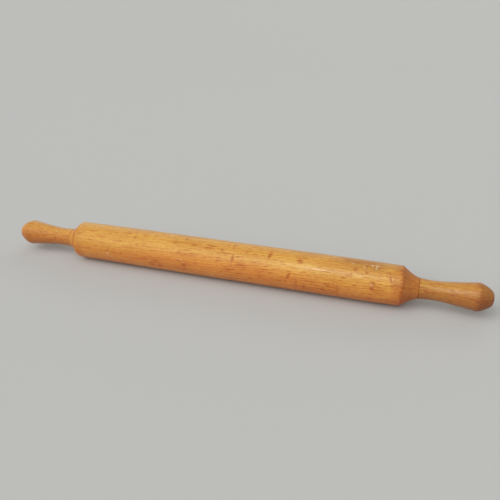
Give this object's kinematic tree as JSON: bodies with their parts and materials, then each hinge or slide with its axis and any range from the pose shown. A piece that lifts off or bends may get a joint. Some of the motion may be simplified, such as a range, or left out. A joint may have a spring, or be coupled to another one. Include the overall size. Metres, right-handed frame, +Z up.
{
  "type": "rolling pin",
  "caption": "Long beech rolling pin with a slightly crowned roller, hollow shoulders and a freely turning flared handle at each end, for rolling out dough.",
  "frame": {"origin": "on the surface that the pin lies on, below the middle of the pin", "axes": "+X along the axis of the roller towards the right handle, +Y away from the viewer, +Z up"},
  "size_m": [0.6928, 0.055, 0.055],
  "materials": {
    "beech_roller": "oiled, worn satin",
    "beech_handle": "oiled, polished by the hand",
    "beech_end_grain": "oiled end grain",
    "steel": "plain bright steel",
    "brass": "drawn tube"
  },
  "bodies": {
    "roller": {"roller": "beech_roller", "left_spindle": "steel", "left_seam_washer": "steel", "left_head_washer": "steel", "right_spindle": "steel", "right_seam_washer": "steel", "right_head_washer": "steel"},
    "left_handle": {"left_handle": "beech_handle", "left_sleeve": "brass", "left_end_plug": "beech_end_grain"},
    "right_handle": {"right_handle": "beech_handle", "right_sleeve": "brass", "right_end_plug": "beech_end_grain"}
  },
  "joints": [
    {"name": "left_handle_spin", "type": "hinge", "parent": "roller", "child": "left_handle", "pos_m": [-0.2564, 0, 0.0275], "axis": [1, 0, 0], "continuous": true},
    {"name": "right_handle_spin", "type": "hinge", "parent": "roller", "child": "right_handle", "pos_m": [0.2564, 0, 0.0275], "axis": [1, 0, 0], "continuous": true}
  ]
}
